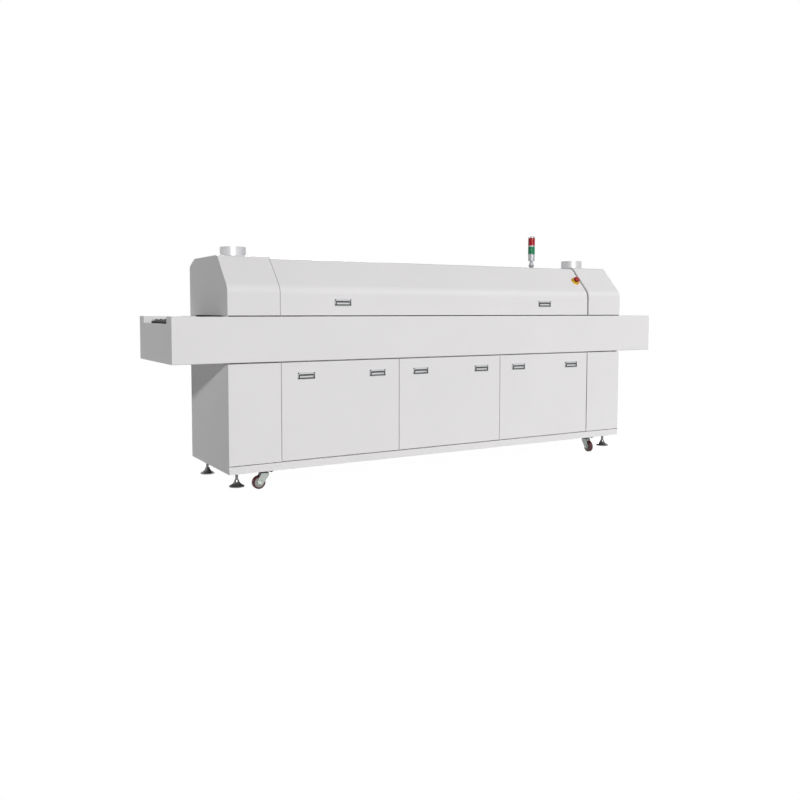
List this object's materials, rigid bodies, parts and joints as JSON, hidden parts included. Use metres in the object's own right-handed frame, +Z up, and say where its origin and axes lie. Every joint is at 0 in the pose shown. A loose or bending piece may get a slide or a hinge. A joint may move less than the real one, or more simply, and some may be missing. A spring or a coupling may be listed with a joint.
{
  "type": "conveyor reflow oven",
  "caption": "Floor-standing conveyor reflow oven: long board beam, lifting heated hood, tilt-out front doors, exhaust collars, signal tower, casters and levelling feet.",
  "frame": {"origin": "on the floor under the middle of the machine", "axes": "+X along the conveyor to the outfeed end, +Y to the rear, +Z up; the doors face -Y"},
  "size_m": [3.5, 0.7027, 1.525],
  "materials": {
    "body_paint": "satin off-white paint",
    "frame_paint": "satin off-white paint",
    "handle_chrome": "bright chrome",
    "collar_metal": "spun sheet metal",
    "belt_wire": "dark heat-stained wire",
    "rail_metal": "extruded",
    "roller_steel": "turned",
    "drive_case": "satin",
    "heater_steel": "stainless sheet",
    "motor_paint": "satin",
    "control_grey": "moulded",
    "gland_plastic": "moulded",
    "tower_metal": "satin",
    "red_lens": "tinted",
    "green_lens": "tinted",
    "stop_yellow": "moulded",
    "stop_red": "moulded",
    "stop_stem": "moulded",
    "caster_zinc": "zinc plated",
    "caster_black": "black",
    "caster_tyre": "moulded",
    "foot_dark": "dark coated",
    "hinge_steel": "satin",
    "strut_steel": "satin"
  },
  "bodies": {
    "frame": {"base_frame": "frame_paint", "end_cover_left": "body_paint", "end_cover_right": "body_paint", "rear_panels": "body_paint", "cabinet_floor": "frame_paint", "beam_front_skirt": "body_paint", "beam_rear_skirt": "body_paint", "infeed_end_plate": "body_paint", "outfeed_end_plate": "body_paint", "hood_end_left": "body_paint", "hood_end_right": "body_paint", "exhaust_collars": "collar_metal", "hood_hinge_leaves": "hinge_steel", "lower_heaters": "heater_steel", "belt_rails": "rail_metal", "mesh_belt": "belt_wire", "conveyor_drive": "drive_case", "control_modules": "control_grey", "cable_gland": "gland_plastic", "caster_plates": "caster_black"},
    "hood": {"hood_lid": "body_paint", "upper_heaters": "heater_steel", "upper_blowers": "motor_paint", "tower_column": "tower_metal", "tower_red_lens": "red_lens", "tower_green_lens": "green_lens", "estop_ring": "stop_yellow", "hood_handle_plates": "handle_chrome"},
    "estop_stem": {"estop_stem": "stop_stem"},
    "estop_head": {"estop_head": "stop_red"},
    "infeed_roller": {"infeed_roller": "roller_steel"},
    "drive_roller": {"drive_roller": "roller_steel"},
    "door_left": {"door_left": "body_paint", "door_left_handle_plates": "handle_chrome"},
    "door_middle": {"door_middle": "body_paint", "door_middle_handle_plates": "handle_chrome"},
    "door_right": {"door_right": "body_paint", "door_right_handle_plates": "handle_chrome"},
    "bail_hood_left": {"bail_hood_left": "handle_chrome"},
    "bail_hood_right": {"bail_hood_right": "handle_chrome"},
    "bail_door_left_left": {"bail_door_left_left": "handle_chrome"},
    "bail_door_left_right": {"bail_door_left_right": "handle_chrome"},
    "bail_door_middle_left": {"bail_door_middle_left": "handle_chrome"},
    "bail_door_middle_right": {"bail_door_middle_right": "handle_chrome"},
    "bail_door_right_left": {"bail_door_right_left": "handle_chrome"},
    "bail_door_right_right": {"bail_door_right_right": "handle_chrome"},
    "caster_fl": {"caster_fork_fl": "caster_zinc"},
    "wheel_fl": {"caster_wheel_fl": "caster_tyre"},
    "foot_fl": {"foot_fl": "foot_dark"},
    "caster_fr": {"caster_fork_fr": "caster_zinc"},
    "wheel_fr": {"caster_wheel_fr": "caster_tyre"},
    "foot_fr": {"foot_fr": "foot_dark"},
    "caster_rl": {"caster_fork_rl": "caster_zinc"},
    "wheel_rl": {"caster_wheel_rl": "caster_tyre"},
    "foot_rl": {"foot_rl": "foot_dark"},
    "caster_rr": {"caster_fork_rr": "caster_zinc"},
    "wheel_rr": {"caster_wheel_rr": "caster_tyre"},
    "foot_rr": {"foot_rr": "foot_dark"},
    "lift_tubes": {"lift_tubes": "strut_steel"},
    "lift_rods": {"lift_rods": "roller_steel"}
  },
  "joints": [
    {"name": "hood_lift", "type": "hinge", "parent": "frame", "child": "hood", "pos_m": [0, 0.345, 0.976], "axis": [-1, 0, 0], "range_deg": [0, 35]},
    {"name": "estop_push", "type": "slide", "parent": "hood", "child": "estop_stem", "axis": [0, 0.7373, -0.6756], "range_m": [0, 0.005], "stiffness_N_per_m": 1500},
    {"name": "estop_twist", "type": "hinge", "parent": "estop_stem", "child": "estop_head", "pos_m": [1.102, -0.254, 1.204], "axis": [0, -0.7373, 0.6756], "range_deg": [0, 40], "stiffness_Nm_per_rad": 0.2},
    {"name": "door_left_tilt", "type": "hinge", "parent": "frame", "child": "door_left", "pos_m": [-0.76333, -0.336, 0.16], "axis": [1, 0, 0], "range_deg": [0, 30]},
    {"name": "door_middle_tilt", "type": "hinge", "parent": "frame", "child": "door_middle", "pos_m": [0, -0.336, 0.16], "axis": [1, 0, 0], "range_deg": [0, 30]},
    {"name": "door_right_tilt", "type": "hinge", "parent": "frame", "child": "door_right", "pos_m": [0.76333, -0.336, 0.16], "axis": [1, 0, 0], "range_deg": [0, 30]},
    {"name": "bail_hood_left_swing", "type": "hinge", "parent": "hood", "child": "bail_hood_left", "pos_m": [-0.757, -0.3375, 1.05], "axis": [-1, 0, 0], "range_deg": [0, 90]},
    {"name": "bail_hood_right_swing", "type": "hinge", "parent": "hood", "child": "bail_hood_right", "pos_m": [0.757, -0.3375, 1.05], "axis": [-1, 0, 0], "range_deg": [0, 90]},
    {"name": "bail_door_left_left_swing", "type": "hinge", "parent": "door_left", "child": "bail_door_left_left", "pos_m": [-0.99333, -0.3455, 0.637], "axis": [-1, 0, 0], "range_deg": [0, 90]},
    {"name": "bail_door_left_right_swing", "type": "hinge", "parent": "door_left", "child": "bail_door_left_right", "pos_m": [-0.53333, -0.3455, 0.637], "axis": [-1, 0, 0], "range_deg": [0, 90]},
    {"name": "bail_door_middle_left_swing", "type": "hinge", "parent": "door_middle", "child": "bail_door_middle_left", "pos_m": [-0.23, -0.3455, 0.637], "axis": [-1, 0, 0], "range_deg": [0, 90]},
    {"name": "bail_door_middle_right_swing", "type": "hinge", "parent": "door_middle", "child": "bail_door_middle_right", "pos_m": [0.23, -0.3455, 0.637], "axis": [-1, 0, 0], "range_deg": [0, 90]},
    {"name": "bail_door_right_left_swing", "type": "hinge", "parent": "door_right", "child": "bail_door_right_left", "pos_m": [0.53333, -0.3455, 0.637], "axis": [-1, 0, 0], "range_deg": [0, 90]},
    {"name": "bail_door_right_right_swing", "type": "hinge", "parent": "door_right", "child": "bail_door_right_right", "pos_m": [0.99333, -0.3455, 0.637], "axis": [-1, 0, 0], "range_deg": [0, 90]},
    {"name": "caster_fl_swivel", "type": "hinge", "parent": "frame", "child": "caster_fl", "pos_m": [-1.22, -0.26, 0.09], "axis": [0, 0, 1], "continuous": true},
    {"name": "wheel_fl_roll", "type": "hinge", "parent": "caster_fl", "child": "wheel_fl", "pos_m": [-1.253, -0.26, 0.0375], "axis": [0, 1, 0], "continuous": true},
    {"name": "foot_fl_adjust", "type": "slide", "parent": "frame", "child": "foot_fl", "axis": [0, 0, 1], "range_m": [-0.027, 0.005]},
    {"name": "caster_fr_swivel", "type": "hinge", "parent": "frame", "child": "caster_fr", "pos_m": [1.22, -0.26, 0.09], "axis": [0, 0, 1], "continuous": true},
    {"name": "wheel_fr_roll", "type": "hinge", "parent": "caster_fr", "child": "wheel_fr", "pos_m": [1.21541, -0.29268, 0.0375], "axis": [-0.9903, 0.1392, 0], "continuous": true},
    {"name": "foot_fr_adjust", "type": "slide", "parent": "frame", "child": "foot_fr", "axis": [0, 0, 1], "range_m": [-0.027, 0.005]},
    {"name": "caster_rl_swivel", "type": "hinge", "parent": "frame", "child": "caster_rl", "pos_m": [-1.22, 0.26, 0.09], "axis": [0, 0, 1], "continuous": true},
    {"name": "wheel_rl_roll", "type": "hinge", "parent": "caster_rl", "child": "wheel_rl", "pos_m": [-1.19009, 0.27395, 0.0375], "axis": [0.4226, -0.9063, 0], "continuous": true},
    {"name": "foot_rl_adjust", "type": "slide", "parent": "frame", "child": "foot_rl", "axis": [0, 0, 1], "range_m": [-0.01, 0.005]},
    {"name": "caster_rr_swivel", "type": "hinge", "parent": "frame", "child": "caster_rr", "pos_m": [1.22, 0.26, 0.09], "axis": [0, 0, 1], "continuous": true},
    {"name": "wheel_rr_roll", "type": "hinge", "parent": "caster_rr", "child": "wheel_rr", "pos_m": [1.19472, 0.28121, 0.0375], "axis": [0.6428, 0.766, 0], "continuous": true},
    {"name": "foot_rr_adjust", "type": "slide", "parent": "frame", "child": "foot_rr", "axis": [0, 0, 1], "range_m": [-0.01, 0.005]},
    {"name": "drive_roller_spin", "type": "hinge", "parent": "frame", "child": "drive_roller", "pos_m": [1.7, 0, 0.913], "axis": [0, 1, 0], "continuous": true},
    {"name": "infeed_roller_spin", "type": "hinge", "parent": "frame", "child": "infeed_roller", "pos_m": [-1.7, 0, 0.913], "axis": [0, 1, 0], "continuous": true},
    {"name": "lift_tube_swing", "type": "hinge", "parent": "frame", "child": "lift_tubes", "pos_m": [0, -0.26, 0.986], "axis": [1, 0, 0], "range_deg": [-5.86, 0]},
    {"name": "lift_rod_slide", "type": "slide", "parent": "lift_tubes", "child": "lift_rods", "axis": [0, 0.8685, 0.4957], "range_m": [0, 0.175]}
  ],
  "couplings": [
    {"joint": "infeed_roller_spin", "follows": "drive_roller_spin", "ratio": 1},
    {"joint": "lift_tube_swing", "follows": "hood_lift", "ratio": -0.16744},
    {"joint": "lift_rod_slide", "follows": "hood_lift", "m_per_rad": 0.28646}
  ]
}
